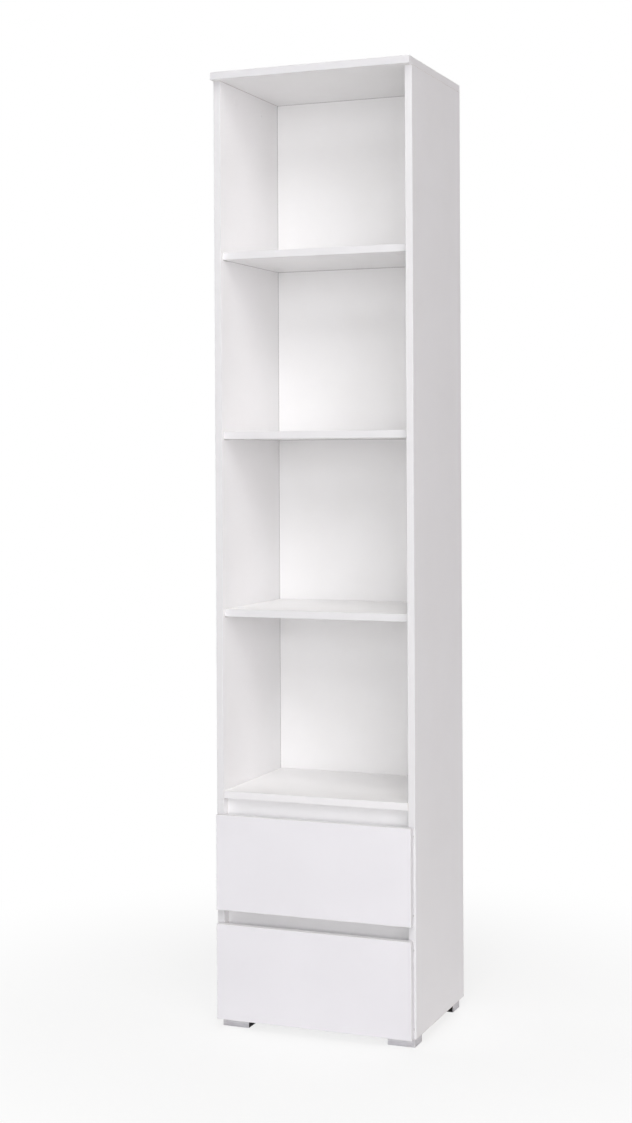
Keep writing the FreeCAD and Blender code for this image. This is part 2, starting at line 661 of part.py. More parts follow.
def make_rollers(drawer, side):
    """The two rollers of one runner pair."""
    sign = SIDES[side]
    make_roller(f"{drawer}_cabinet_roller_{side}", f"{sign} * (inner_width / 2 - roller_side)",
                "runner_y + roller_inset", drawer, -sign)
    make_roller(f"{drawer}_drawer_roller_{side}", f"{sign} * (box_width / 2 + roller_side)",
                "box_y + runner_length - roller_inset", drawer, sign)


# ---------------------------------------------------------------------------------------------
# Drawers
# ---------------------------------------------------------------------------------------------
def make_drawer_front(drawer):
    """A plain front with no handle; it is opened by its upper edge, through the finger gap."""
    body = block(f"{drawer}_drawer_front", "-overall_width / 2 + front_inset", "-overall_depth / 2",
                 f"{drawer}_front_z", "overall_width - 2 * front_inset", "front_thick",
                 "front_height", "y")
    round_all(body, "arris")
    centre = "(overall_width / 2 - front_inset)"
    low = "(box_lift + bottom_rise - groove_play / 2)"
    half = "(box_inner / 2 + groove_deep)"
    slot = (f"{centre} - {half}", low, f"{centre} + {half}", f"{low} + bottom_thick + groove_play")
    groove(body, "groove", "XZ", "front_thick", -1, slot, "groove_deep")
    threads = [(f"{centre} + {sign} * (box_width / 2 - box_side / 2)", f"box_lift + {height}")
               for sign in SIDES.values() for height in ("box_fix_low", "box_fix_high")]
    bore(body, "threads", "XZ", "front_thick", -1, threads, "thread_dia", "thread_deep")
    return body


def make_drawer_side(drawer, side):
    """A drawer side, cammed to the front and screwed to the drawer back."""
    sign = SIDES[side]
    outer = "-box_width / 2" if sign < 0 else "box_width / 2 - box_side"
    body = block(f"{drawer}_drawer_side_{side}", outer, "box_y", f"{drawer}_front_z + box_lift",
                 "box_side", "runner_length", "box_height", "x")
    top = estimate("box_height")
    round_edges(body, edge_names(body, "y", lambda x, y, z: abs(z - top) < NEAR), "box_arris")
    inner_face, outer_face = ("box_side", "0") if sign < 0 else ("0", "box_side")
    low = "(bottom_rise - groove_play / 2)"
    slot = ("0", low, "runner_length", f"{low} + bottom_thick + groove_play")
    groove(body, "groove", "YZ", inner_face, sign, slot, "groove_deep")
    heights = ["box_fix_low", "box_fix_high"]
    cams = [("box_cam_reach", height) for height in heights]
    bore(body, "cams", "YZ", outer_face, -sign, cams, "cam_dia", "box_cam_deep")
    bolts = [("box_side / 2", height) for height in heights]
    bore(body, "bolts", "XZ", "0", 1, bolts, "box_bolt_bore", "box_cam_reach")
    backs = [("runner_length - box_side / 2", height) for height in ("back_fix_low", "back_fix_high")]
    bore(body, "back_heads", "YZ", outer_face, -sign, backs, "back_head_dia + back_head_play", "back_head")
    bore(body, "back_screws", "YZ", outer_face, -sign, backs, "back_screw_dia", "box_side")
    runners = [(place, "runner_drop + box_screw_rise") for place in box_screw_places()]
    bore(body, "runner_screws", "YZ", outer_face, -sign, runners, "box_screw_dia", "box_screw_deep")
    return body


def make_drawer_back(drawer):
    """The drawer back stands on the drawer bottom, between the sides."""
    rise = "(bottom_rise + bottom_thick)"
    body = block(f"{drawer}_drawer_back", "-box_inner / 2", "box_y + runner_length - box_side",
                 f"{drawer}_front_z + box_lift + {rise}", "box_inner", "box_side",
                 f"box_height - {rise}", "y")
    top = body.Tip.Shape.BoundBox.ZMax
    round_edges(body, edge_names(body, "x", lambda x, y, z: abs(z - top) < NEAR), "box_arris")
    points = [("box_side / 2", f"{height} - {rise}") for height in ("back_fix_low", "back_fix_high")]
    for side, offset, towards in (("left", "0", 1), ("right", "box_inner", -1)):
        depth = "back_screw_bite + bore_past"
        bore(body, side + "_screws", "YZ", offset, towards, points, "back_screw_dia", depth)
    return body


def make_drawer_bottom(drawer):
    """The drawer bottom slides in from the rear, along grooves in the sides and the front."""
    return block(f"{drawer}_drawer_bottom", "-box_inner / 2 - tongue", "box_y - tongue",
                 f"{drawer}_front_z + box_lift + bottom_rise", "box_inner + 2 * tongue",
                 "runner_length + tongue", "bottom_thick", "z")


# ---------------------------------------------------------------------------------------------
# Small fittings, many alike: each kind is one sub-part of separate solids. Their templates
# point along +Z and are set in place by a point and two directions.
# ---------------------------------------------------------------------------------------------
X = FreeCAD.Vector(1, 0, 0)
Y = FreeCAD.Vector(0, 1, 0)
Z = FreeCAD.Vector(0, 0, 1)


def stage(diameter, low, high):
    """A cylinder about the Z axis between two heights."""
    return Part.makeCylinder(diameter / 2, high - low, FreeCAD.Vector(0, 0, low))


def centred_box(length, width, low, high, shift=0.0):
    """A box about the Z axis, shifted along X."""
    corner = FreeCAD.Vector(shift - length / 2, -width / 2, low)
    return Part.makeBox(length, width, high - low, corner)


def set_in_place(template, point, x_axis, z_axis):
    """A copy of the template with its X and Z axes turned to the directions given."""
    turn = FreeCAD.Rotation(x_axis, FreeCAD.Vector(), z_axis, "ZXY")
    copy = template.copy()
    copy.Placement = FreeCAD.Placement(point, turn)
    return copy


def add_group(label, solids):
    """One sub-part from many loose solids."""
    feature = doc.addObject("Part::Feature", label)
    feature.Label = label
    feature.Shape = Part.makeCompound(solids)
    feature.Placement = FreeCAD.Placement()
    subparts.append(feature)


def beside(axis):
    """A direction at right angles to the X, Y or Z axis given."""
    return X if axis.z else Z


def cam_template(deep, middle, head):
    """A cam lock: its face at z = 0, a slot for the bolt's head from the -X side, a cross recess."""
    room = 0.8
    radius = (size.cam_dia - size.fitting_play) / 2
    cam = stage(2 * radius, size.cam_face_gap, deep - size.fitting_play)
    slot_width = head + room
    slot_length = radius + head / 2 + room
    slot = centred_box(slot_length, slot_width, middle - slot_width / 2, middle + slot_width / 2,
                       head / 2 + room - slot_length / 2)
    recess_length, recess_width, recess_deep = 7.0, 1.3, 2.0
    for tool in (slot,
                 centred_box(recess_length, recess_width, 0, recess_deep),
                 centred_box(recess_width, recess_length, 0, recess_deep)):
        cam = cam.cut(tool)
    return cam


def bolt_template(shank, neck, reach):
    """A cam bolt: screwed end below z = 0, shank, neck and a head in the middle of the cam."""
    neck_lead = 1.0
    neck_start = reach - size.cam_dia / 2 - neck_lead
    head_start = reach - shank / 2
    parts = [
        stage(size.thread_dia - size.fitting_play, size.end_gap - size.thread_deep, 0),
        stage(shank, 0, neck_start),
        stage(neck, neck_start, head_start),
        stage(shank, head_start, reach + shank / 4),
    ]
    return parts[0].fuse(parts[1:]).removeSplitter()


def dowel_template():
    """A beech dowel with chamfered ends, across the joint at z = 0."""
    chamfer = 1.0
    dowel = stage(size.dowel_dia - size.fitting_play, size.end_gap - size.dowel_deep,
                  size.dowel_end_deep - size.end_gap)
    rims = [edge for edge in dowel.Edges if len(edge.Vertexes) == 1]
    return dowel.makeChamfer(chamfer, rims)


def screw_template(shank, bite, head, head_thick, recess):
    """A screw: its head above z = 0 with a cross recess, its shank below."""
    screw = stage(head, 0, head_thick).fuse(stage(shank, -bite, 0)).removeSplitter()
    recess_width = recess / 4
    recess_deep = 0.6 * head_thick
    for tool in (centred_box(recess, recess_width, head_thick - recess_deep, head_thick),
                 centred_box(recess_width, recess, head_thick - recess_deep, head_thick)):
        screw = screw.cut(tool)
    return screw


def carcass_joints():
    """Each cammed joint: the point at the joint, the way the bolt points, the way the cam is let in."""
    joints = []
    for sign in SIDES.values():
        end = sign * size.inner_width / 2
        for name in SHELVES + ["deck"]:
            height = getattr(size, name + "_z") + size.board / 2
            for y in (size.fix_front_y, size.fix_back_y):
                joints.append((FreeCAD.Vector(end, y, height), X * -sign, Z))
        for y in (size.fix_front_y, size.fix_back_y):
            joints.append((FreeCAD.Vector(end, y, size.foot_height + size.board / 2), X * -sign, Z))
        for drawer in DRAWERS:
            height = getattr(size, drawer + "_rail_z") + size.rail_height / 2
            joints.append((FreeCAD.Vector(end, size.rail_y + size.board / 2, height), X * -sign, -Y))
        middle = sign * (size.overall_width - size.board) / 2
        for y in top_fix_rows():
            joints.append((FreeCAD.Vector(middle, y, size.top_z), -Z, X * sign))
    return joints


def top_fix_rows():
    """The two rows of fittings between the side panels and the top board."""
    return size.fix_front_y + size.top_fix_shift, size.fix_back_y - size.top_fix_shift


def make_carcass_fittings():
    """Cam locks, their bolts and caps, and the dowels."""
    cam = cam_template(size.cam_deep, size.board / 2, size.bolt_dia)
    bolt = bolt_template(size.bolt_dia, size.bolt_neck_dia, size.cam_reach)
    cap = stage(size.cap_dia, 0, size.cap_thick)
    cams, bolts, caps = [], [], []
    shelf_heights = [getattr(size, name + "_z") + size.board / 2 for name in SHELVES]
    for point, way, inward in carcass_joints():
        face = point + way * size.cam_reach - inward * (size.board / 2)
        cams.append(set_in_place(cam, face, way, inward))
        bolts.append(set_in_place(bolt, point, beside(way), way))
        if way.z or point.z in shelf_heights:
            caps.append(set_in_place(cap, face, way, -inward))
    add_group("cam_locks", cams)
    add_group("cam_bolts", bolts)
    add_group("cam_caps", caps)
    add_group("dowels", [set_in_place(dowel_template(), point, beside(way), way)
                         for point, way in dowel_joints()])


def dowel_joints():
    """Each dowel: the point at the joint, the way into the board's end."""
    joints = []
    for sign in SIDES.values():
        end = sign * size.inner_width / 2
        heights = [getattr(size, name + "_z") for name in SHELVES + ["deck"]] + [size.foot_height]
        for height in heights:
            for y in (size.dowel_front_y, size.dowel_back_y):
                joints.append((FreeCAD.Vector(end, y, height + size.board / 2), X * -sign))
        for drawer in DRAWERS:
            middle = getattr(size, drawer + "_rail_z") + size.rail_height / 2
            for step in (-size.rail_dowel_pitch, size.rail_dowel_pitch):
                point = FreeCAD.Vector(end, size.rail_y + size.board / 2, middle + step)
                joints.append((point, X * -sign))
        column = sign * (size.overall_width - size.board) / 2
        front, back = top_fix_rows()
        for y in (front + size.dowel_pitch, back - size.dowel_pitch):
            joints.append((FreeCAD.Vector(column, y, size.top_z), -Z))
    return joints


def make_foot_screws():
    """Two wood screws in each foot, their heads deep inside it."""
    screw = screw_template(size.foot_screw_dia - size.fitting_play,
                           size.foot_screw_bite + size.foot_height - size.foot_head_lift - size.foot_head,
                           size.foot_head_dia, size.foot_head, size.cross)
    height = size.foot_head_lift + size.foot_head
    points = [FreeCAD.Vector(estimate(x), estimate(y), height)
              for side in SIDES for end in ENDS for x, y in foot_screw_places(side, end)]
    add_group("foot_screws", [set_in_place(screw, point, X, -Z) for point in points])


def make_runner_screws():
    """Two screws through each cabinet member into the side panel."""
    screw = screw_template(size.euro_dia - size.fitting_play, size.euro_deep + size.steel - size.end_gap,
                           size.euro_head_dia, size.euro_head, size.cross)
    solids = []
    for sign in SIDES.values():
        column = sign * (size.inner_width / 2 - size.steel)
        for drawer in DRAWERS:
            height = getattr(size, drawer + "_front_z") + size.runner_rise + size.runner_height / 2
            for place in runner_screws():
                point = FreeCAD.Vector(column, size.runner_y + estimate(place), height)
                solids.append(set_in_place(screw, point, Z, X * -sign))
    add_group("runner_screws", solids)


def make_bumpers():
    """Clear soft pads on the front edges of the side panels, behind the corners of each front."""
    pad_shape = stage(size.bumper_dia, 0, size.bumper_thick)
    solids = []
    for drawer in DRAWERS:
        low = getattr(size, drawer + "_front_z")
        for height in (low + size.bumper_inset, low + size.front_height - size.bumper_inset):
            for sign in SIDES.values():
                column = sign * (size.overall_width - size.board) / 2
                point = FreeCAD.Vector(column, size.carcass_front, height)
                solids.append(set_in_place(pad_shape, point, X, -Y))
    add_group("bumpers", solids)


def make_drawer_fittings(drawer):
    """A drawer's cam locks and bolts, and the screws of its back and of its runners."""
    base = getattr(size, drawer + "_front_z") + size.box_lift
    cam = cam_template(size.box_cam_deep, size.box_side / 2, size.box_bolt_dia)
    bolt = bolt_template(size.box_bolt_dia, size.box_bolt_neck_dia, size.box_cam_reach)
    back_screw = screw_template(size.back_screw_dia - size.fitting_play,
                                size.back_screw_bite + size.box_side - size.back_head,
                                size.back_head_dia, size.back_head, size.cross)
    runner_screw = screw_template(size.box_screw_dia - size.fitting_play,
                                  size.box_screw_deep + size.steel - size.end_gap,
                                  size.box_screw_head_dia, size.euro_head, size.small_cross)
    cams, bolts, back_screws, screws = [], [], [], []
    for sign in SIDES.values():
        middle = sign * (size.box_width - size.box_side) / 2
        outside = sign * size.box_width / 2
        for rise in (size.box_fix_low, size.box_fix_high):
            point = FreeCAD.Vector(middle, size.box_y, base + rise)
            face = FreeCAD.Vector(outside, size.box_y + size.box_cam_reach, base + rise)
            bolts.append(set_in_place(bolt, point, X, Y))
            cams.append(set_in_place(cam, face, Y, X * -sign))
        for rise in (size.back_fix_low, size.back_fix_high):
            along = size.box_y + size.runner_length - size.box_side / 2
            seat = FreeCAD.Vector(outside - sign * size.back_head, along, base + rise)
            back_screws.append(set_in_place(back_screw, seat, Z, X * sign))
        for place in box_screw_places():
            point = FreeCAD.Vector(outside + sign * size.steel, size.box_y + estimate(place),
                                   base + size.runner_drop + size.box_screw_rise)
            screws.append(set_in_place(runner_screw, point, Z, X * sign))
    add_group(f"{drawer}_drawer_cams", cams)
    add_group(f"{drawer}_drawer_bolts", bolts)
    add_group(f"{drawer}_drawer_back_screws", back_screws)
    add_group(f"{drawer}_drawer_runner_screws", screws)


# ---------------------------------------------------------------------------------------------
# The whole bookcase
# ---------------------------------------------------------------------------------------------
def build():
    """Make every sub-part."""
    for side in SIDES:
        make_side_panel(side)
    make_top_board()
    make_bottom_board()
    for name in SHELVES:
        make_inner_board(name, "shelf_y", f"{name}_z")
    make_inner_board("drawer_deck", "carcass_front", "deck_z")
    make_back_panel()
    for side in SIDES:
        for end in ENDS:
            make_foot(side, end)
            make_foot_trim(side, end)
    for drawer in DRAWERS:
        make_rail(drawer)
        make_drawer_front(drawer)
        make_drawer_back(drawer)
        make_drawer_bottom(drawer)
        for side in SIDES:
            make_drawer_side(drawer, side)
            make_cabinet_runner(drawer, side)
            make_drawer_runner(drawer, side)
            make_rollers(drawer, side)
        make_drawer_fittings(drawer)
    make_carcass_fittings()
    make_foot_screws()
    make_runner_screws()
    make_bumpers()
    doc.recompute()


def check():
    """Stop if an object failed, a cut took nothing away, or a sub-part is not sound."""
    for thing in doc.Objects:
        if {"Invalid", "Error"} & set(thing.State):
            raise RuntimeError(f"{thing.Label} failed: {thing.State}")
        if thing.TypeId == "PartDesign::Pocket":
            if thing.Shape.Volume > thing.BaseFeature.Shape.Volume - SMALLEST_CUT:
                raise RuntimeError(f"{thing.Label} cuts nothing")
    for part in subparts:
        if part.Shape.isNull() or not part.Shape.isValid():
            raise RuntimeError(f"{part.Label} has no sound shape")


def write():
    """Write each sub-part under its own name."""
    os.makedirs("parts", exist_ok=True)
    for part in subparts:
        part.Shape.exportStep(f"parts/{part.Label}.step")
        print(f"{part.Label}: {len(part.Shape.Solids)} solid(s), {part.Shape.Volume / 1000:.1f} cm3")


build()
check()
write()
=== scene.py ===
import math

import bmesh
import bpy
from mathutils import Matrix, Vector


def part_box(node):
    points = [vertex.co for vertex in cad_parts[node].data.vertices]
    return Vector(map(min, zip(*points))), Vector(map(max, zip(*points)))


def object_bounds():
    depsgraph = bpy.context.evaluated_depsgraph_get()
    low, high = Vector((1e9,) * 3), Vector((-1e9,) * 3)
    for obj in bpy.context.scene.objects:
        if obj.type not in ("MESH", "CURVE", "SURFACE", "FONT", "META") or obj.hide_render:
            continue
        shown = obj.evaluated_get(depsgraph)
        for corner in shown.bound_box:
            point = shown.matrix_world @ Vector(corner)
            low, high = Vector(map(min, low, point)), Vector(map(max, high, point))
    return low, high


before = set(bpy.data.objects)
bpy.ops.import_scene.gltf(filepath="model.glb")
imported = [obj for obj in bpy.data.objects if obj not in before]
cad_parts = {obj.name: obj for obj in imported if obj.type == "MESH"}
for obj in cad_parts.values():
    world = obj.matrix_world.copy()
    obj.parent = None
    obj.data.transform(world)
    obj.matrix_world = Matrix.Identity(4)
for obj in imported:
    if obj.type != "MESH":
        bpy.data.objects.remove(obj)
cad_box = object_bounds()

MM = 0.001

# ---------------------------------------------------------------------------------------------
# Camera
# ---------------------------------------------------------------------------------------------
CAMERA_PLACE = (1.4570, -3.7929, 1.2290)
CAMERA_YAW = 21.724
CAMERA_PITCH = -0.319
CAMERA_ROLL = -0.293
LENS_MM = 59.62
SENSOR_MM = 36.0
SHIFT_Y = -0.0852


def make_camera():
    """The view from the right of the middle, at chest height, with upright verticals."""
    data = bpy.data.cameras.new("camera")
    data.sensor_width = SENSOR_MM
    data.lens = LENS_MM
    data.shift_y = SHIFT_Y
    data.dof.use_dof = False
    camera = bpy.data.objects.new("camera", data)
    bpy.context.scene.collection.objects.link(camera)
    yaw = Matrix.Rotation(math.radians(CAMERA_YAW), 4, "Z")
    pitch = Matrix.Rotation(math.radians(90 + CAMERA_PITCH), 4, "X")
    roll = Matrix.Rotation(math.radians(CAMERA_ROLL), 4, "Z")
    camera.matrix_world = Matrix.Translation(CAMERA_PLACE) @ yaw @ pitch @ roll
    bpy.context.scene.camera = camera


make_camera()

# ---------------------------------------------------------------------------------------------
# Studio: a pale floor, a white backdrop and soft lights
# ---------------------------------------------------------------------------------------------
FLOOR_SIZE = 60.0
FLOOR_LIGHT = (0.93, 0.93, 0.93)
FLOOR_DARK = (0.91, 0.91, 0.91)
FLOOR_CLOUD = 0.8
FLOOR_ROUGH = 0.8
# how much of the floor the camera sees as plain white near the object, and between which
# distances from its middle that grows to all of it
FLOOR_NEAR = 0.8
FLOOR_FADE = (0.35, 1.4)
BLACK = (0.0, 0.0, 0.0)
WHITE = (1.0, 1.0, 1.0)
WARM = (1.0, 0.985, 0.955)
ROSE = (1.0, 0.928, 0.985)
SOFTBOX = 4.0
CLEAR_OF_FLOOR = 0.02
# name: (azimuth, elevation, distance, power in watts, colour)
LIGHTS = {
    "front_low": (10, 5, 10.0, 238, WHITE),
    "front_high": (15, 35, 10.0, 238, WHITE),
    "overhead": (15, 60, 9.0, 244, WARM),
    "front_right_low": (35, 5, 10.0, 83, WHITE),
    "front_right_high": (45, 35, 10.0, 175, WHITE),
    "right_low": (60, 5, 10.0, 152, ROSE),
    "rear_right": (130, 5, 10.0, 80, ROSE),
    "rear_low": (185, 5, 10.0, 140, WHITE),
    "rear_high": (190, 45, 10.0, 70, WHITE),
    "left_low": (255, 5, 10.0, 280, WHITE),
}


def make_light(name, azimuth, elevation, distance, power, colour):
    """A softbox aimed at the middle of the object; azimuth 0 is in front of it, 90 to its right."""
    low, high = cad_box
    target = (low + high) / 2
    a, e = math.radians(azimuth), math.radians(elevation)
    way = Vector((math.sin(a) * math.cos(e), -math.cos(a) * math.cos(e), math.sin(e)))
    data = bpy.data.lights.new(name, "AREA")
    data.shape = "SQUARE"
    data.size = SOFTBOX
    data.energy = power
    data.color = colour
    light = bpy.data.objects.new(name, data)
    bpy.context.scene.collection.objects.link(light)
    light.location = target + distance * way
    light.location.z = max(light.location.z, SOFTBOX / 2 * math.cos(e) + CLEAR_OF_FLOOR)
    light.rotation_mode = "QUATERNION"
    light.rotation_quaternion = (light.location - target).to_track_quat("Z", "Y")
    light.visible_camera = False


def make_backdrop():
    """The camera sees plain white behind the object; nothing is lit by it."""
    world = bpy.data.worlds.new("backdrop")
    bpy.context.scene.world = world
    world.use_nodes = True
    nodes, links = world.node_tree.nodes, world.node_tree.links
    unlit = nodes["Background"]
    unlit.inputs["Color"].default_value = (*BLACK, 1)
    white = nodes.new("ShaderNodeBackground")
    white.inputs["Color"].default_value = (*WHITE, 1)
    rays = nodes.new("ShaderNodeLightPath")
    choice = nodes.new("ShaderNodeMixShader")
    links.new(rays.outputs["Is Camera Ray"], choice.inputs[0])
    links.new(unlit.outputs[0], choice.inputs[1])
    links.new(white.outputs[0], choice.inputs[2])
    links.new(choice.outputs[0], nodes["World Output"].inputs["Surface"])


# ---------------------------------------------------------------------------------------------
# Shader building blocks
# ---------------------------------------------------------------------------------------------
# a noise is given by the size of its blobs in metres, its octaves of detail and, if it is stretched
# along an axis, its grain; these are the spans of its output over which colours and roughness change
NOISE_RANGE = (0.3, 0.7)
TONE_RANGE = (0.35, 0.7)
# the colour sockets of a Mix node, by number, because its other kinds share their names
MIX_COLOUR = {"amount": 0, "first": 6, "second": 7, "result": 2}


class Shader:
    """A material's node tree. Places in it are the object's own coordinates, in metres."""

    def __init__(self, name):
        self.material = bpy.data.materials.new(name)
        self.material.use_nodes = True
        self.tree = self.material.node_tree
        self.surface = self.tree.nodes["Principled BSDF"]
        self.place = self.node("ShaderNodeTexCoord").outputs["Object"]
        self.normal = self.node("ShaderNodeTexCoord").outputs["Normal"]
        self.x, self.y, self.z = self.split(self.place)

    def node(self, kind, **settings):
        """A new node with its settings."""
        made = self.tree.nodes.new(kind)
        for name, value in settings.items():
            setattr(made, name, value)
        return made

    def feed(self, socket, value):
        """Give a socket another socket's output, or a plain value."""
        if isinstance(value, bpy.types.NodeSocket):
            self.tree.links.new(value, socket)
        elif isinstance(value, tuple) and socket.type == "RGBA":
            socket.default_value = (*value, 1)
        else:
            socket.default_value = value

    def set(self, name, value):
        """Set an input of the surface itself."""
        self.feed(self.surface.inputs[name], value)

    def split(self, vector):
        """The three parts of a vector."""
        made = self.node("ShaderNodeSeparateXYZ")
        self.feed(made.inputs[0], vector)
        return made.outputs[0], made.outputs[1], made.outputs[2]

    def math(self, operation, *values):
        """A Math node on one to three values."""
        made = self.node("ShaderNodeMath", operation=operation)
        for socket, value in zip(made.inputs, values):
            self.feed(socket, value)
        return made.outputs[0]

    def step(self, value, low, high, start=0.0, end=1.0):
        """A smooth step from start, where value is at low, to end, where it is at high."""
        made = self.node("ShaderNodeMapRange", interpolation_type="SMOOTHSTEP")
        for socket, given in zip(made.inputs, (value, low, high, start, end)):
            self.feed(socket, given)
        return made.outputs[0]

    def mix(self, amount, first, second):
        """A colour between two colours."""
        made = self.node("ShaderNodeMix", data_type="RGBA")
        self.feed(made.inputs[MIX_COLOUR["amount"]], amount)
        self.feed(made.inputs[MIX_COLOUR["first"]], first)
        self.feed(made.inputs[MIX_COLOUR["second"]], second)
        return made.outputs[MIX_COLOUR["result"]]

    def times(self, first, second):
        """One value times another."""
        return self.math("MULTIPLY", first, second)

    def blend(self, value, first, second, span=TONE_RANGE):
        """A colour that goes from first to second as a value goes through a span."""
        return self.mix(self.step(value, *span), first, second)

    def rough(self, value, smooth, dull):
        """A roughness from smooth to dull over the middle of a noise's range."""
        return self.step(value, *NOISE_RANGE, smooth, dull)

    def stretched(self, scale):
        """The object's coordinates, stretched along each axis."""
        made = self.node("ShaderNodeMapping")
        self.feed(made.inputs["Vector"], self.place)
        made.inputs["Scale"].default_value = scale
        return made.outputs[0]

    def noise(self, size, detail=2.0, grain=None):
        """Noise whose blobs are about size metres across; grain stretches it along an axis."""
        made = self.node("ShaderNodeTexNoise")
        self.feed(made.inputs["Vector"], self.stretched(grain) if grain else self.place)
        made.inputs["Scale"].default_value = 1 / size
        made.inputs["Detail"].default_value = detail
        return made.outputs["Fac"]

    def cells(self, size, feature="F1", grain=None, output="Distance"):
        """Voronoi cells about size metres across."""
        made = self.node("ShaderNodeTexVoronoi", feature=feature)
        self.feed(made.inputs["Vector"], self.stretched(grain) if grain else self.place)
        made.inputs["Scale"].default_value = 1 / size
        return made.outputs[output]

    def bump(self, *layers):
        """Bumps on the surface: pairs of a height and its depth in metres."""
        normal = None
        for height, depth in layers:
            made = self.node("ShaderNodeBump")
            self.feed(made.inputs["Height"], height)
            made.inputs["Distance"].default_value = depth
            if normal:
                self.feed(made.inputs["Normal"], normal)
            normal = made.outputs[0]
        self.set("Normal", normal)

    def distance(self, axis, corner):
        """Distance from the plane through a corner across an axis."""
        part = (self.x, self.y, self.z)[axis]
        return self.math("ABSOLUTE", self.math("SUBTRACT", part, corner[axis]))

    def least(self, values):
        """The least of several values."""
        result = values[0]
        for value in values[1:]:
            result = self.math("MINIMUM", result, value)
        return result

    def box_depths(self, low, high):
        """Depth below the nearest face of a box, and the distance from its nearest edge."""
        near = []
        for axis in range(3):
            near.append(self.least([self.distance(axis, low), self.distance(axis, high)]))
        smaller = self.math("MINIMUM", near[0], near[1])
        larger = self.math("MAXIMUM", near[0], near[1])
        depth = self.math("MINIMUM", smaller, near[2])
        edge = self.math("MAXIMUM", smaller, self.math("MINIMUM", larger, near[2]))
        return depth, edge


# ---------------------------------------------------------------------------------------------
# Board materials
# ---------------------------------------------------------------------------------------------
# a pair of colours is the two ends of a faint variation
MELAMINE = ((0.904, 0.897, 0.901), (0.890, 0.882, 0.884))
# the drawer fronts' white is painted darker and bluer than the boards' own: painted shade, a shaded
# copy of the same melamine
SHADED_FRONT_MELAMINE = ((0.778, 0.766, 0.800), (0.764, 0.752, 0.785))
# the rails' white is painted lighter than the boards' own: painted light against the shade in the gaps
# between the drawers
LIT_RAIL_MELAMINE = ((0.970, 0.965, 0.975), (0.955, 0.950, 0.960))
LACQUER = ((0.898, 0.891, 0.896), (0.882, 0.874, 0.877))
FOIL = ((0.800, 0.792, 0.775), (0.770, 0.760, 0.742))
FIBRE = ((0.175, 0.095, 0.045), (0.300, 0.178, 0.090))
CHIP = ((0.300, 0.185, 0.095), (0.560, 0.400, 0.235))
BAND = (0.790, 0.780, 0.795)
# darker copies of the band colour for the side panels, the shelves and the top board: painted shade
SHADED_SIDE_BAND = (0.728, 0.722, 0.738)
SHADED_TOP_BAND = (0.690, 0.684, 0.704)
SCUFF = (0.690, 0.672, 0.640)
SEAM = (0.520, 0.505, 0.480)
# the colour of the painted shadow lines where boards meet
CREVICE = (0.240, 0.230, 0.220)

# edge bands: their thickness, half the width of the seam behind them and how dark and deep it is
BAND_THICK = 0.8 * MM
SEAM_HALF = 0.07 * MM
SEAM_STRENGTH = 0.6
SEAM_DEPTH = -0.05 * MM
# the white skin ends between these depths, and the core shows this near to a raw face
SKIN_DEPTHS = (0.4 * MM, 0.6 * MM)
RAW_FACE = (0.2 * MM, 0.1 * MM)
CORE_ROUGHER = 0.35
# chipboard's flakes, specks and grit
FLAKE = 2.6 * MM
FLAKE_GRAIN = (1, 1, 2.2)
FLAKE_SHARE = 0.65
SPECKS = (0.7 * MM, 3.0)
GRIT = (1.2 * MM, 3.0)
GRIT_DEPTH = 0.25 * MM
# melamine: a cloud in its tone, a fine pearl and a wider peel in its surface, duller places
CLOUD = (160 * MM, 3.0)
PEARL, PEARL_DEPTH = (0.9 * MM, 2.0), 0.010 * MM
PEEL, PEEL_DEPTH = (6 * MM, 2.0), 0.012 * MM
DULL_PLACES = (45 * MM, 4.0)
BOARD_ROUGH = (0.36, 0.46)
# foil: streaks, with their scale along the board, and a peel
STREAKS, STREAK_DEPTH = (3.5 * MM, 3.0), 0.010 * MM
ALONG_GRAIN = 0.12
FOIL_PEEL, FOIL_PEEL_DEPTH = (5 * MM, 2.0), 0.015 * MM
FOIL_ROUGH = (0.42, 0.52)
# rubbed arrises: their patches, how far they reach from the edge and how strongly they show
BOARD_RUB = {"noise": (22 * MM, 4.0), "range": (0.50, 0.72), "reach": (1.6 * MM, 0.2 * MM)}
BOARD_RUB_STRENGTH = 0.25
BOARD_RUB_ROUGHER = 0.15
FOIL_RUB = {"noise": (15 * MM, 4.0), "range": (0.45, 0.7), "reach": (1.8 * MM, 0.3 * MM)}
FOIL_RUB_STRENGTH = 0.6
# shadow lines where boards meet: the distances where they are full and gone, and their strengths
CREVICE_NEAR = 0.35 * MM
CREVICE_FAR = 1.1 * MM
SIDE_CREVICE = 0.55
BACK_CREVICE = 0.8
# on a side panel they stay within this of the inner face, and start just behind the shelves' front
INNER_FACE = (0.3 * MM, 0.1 * MM)
BEHIND_FRONT = 1 * MM
# the wider shadow under a shelf's front end, measured back from the side panel's front
CORNER_WIDE = 3.2 * MM
CORNER_STRENGTH = 0.75
CORNER_START = 22 * MM
CORNER_END = 60 * MM
# hardboard: its lacquer starts where the surface turns this far towards the lacquered face
FACE_TURN = (0.4, 0.6)
LACQUER_CLOUD = (120 * MM, 3.0)
LACQUER_PEEL, LACQUER_PEEL_DEPTH = (4 * MM, 3.0), 0.020 * MM
MOTTLE, MOTTLE_SHARE = (2.2 * MM, 4.0), 0.7
HAIR, HAIR_SHARE = 5 * MM, 0.6
HAIR_GRAIN = (1.0, 1.0, 0.35)
FIBRE_RANGE = (0.25, 0.75)
FIBRE_DEPTH = 0.12 * MM
MOTTLE_RANGE = (0.2, 0.8)
BARE_ROUGH = (0.70, 0.82)
LACQUER_ROUGH = (0.42, 0.50)

# a face of a box: the axis across it, and the side it is on
FRONT, BACK = (1, -1), (1, 1)
LEFT, RIGHT = (0, -1), (0, 1)
BELOW, ABOVE = (2, -1), (2, 1)


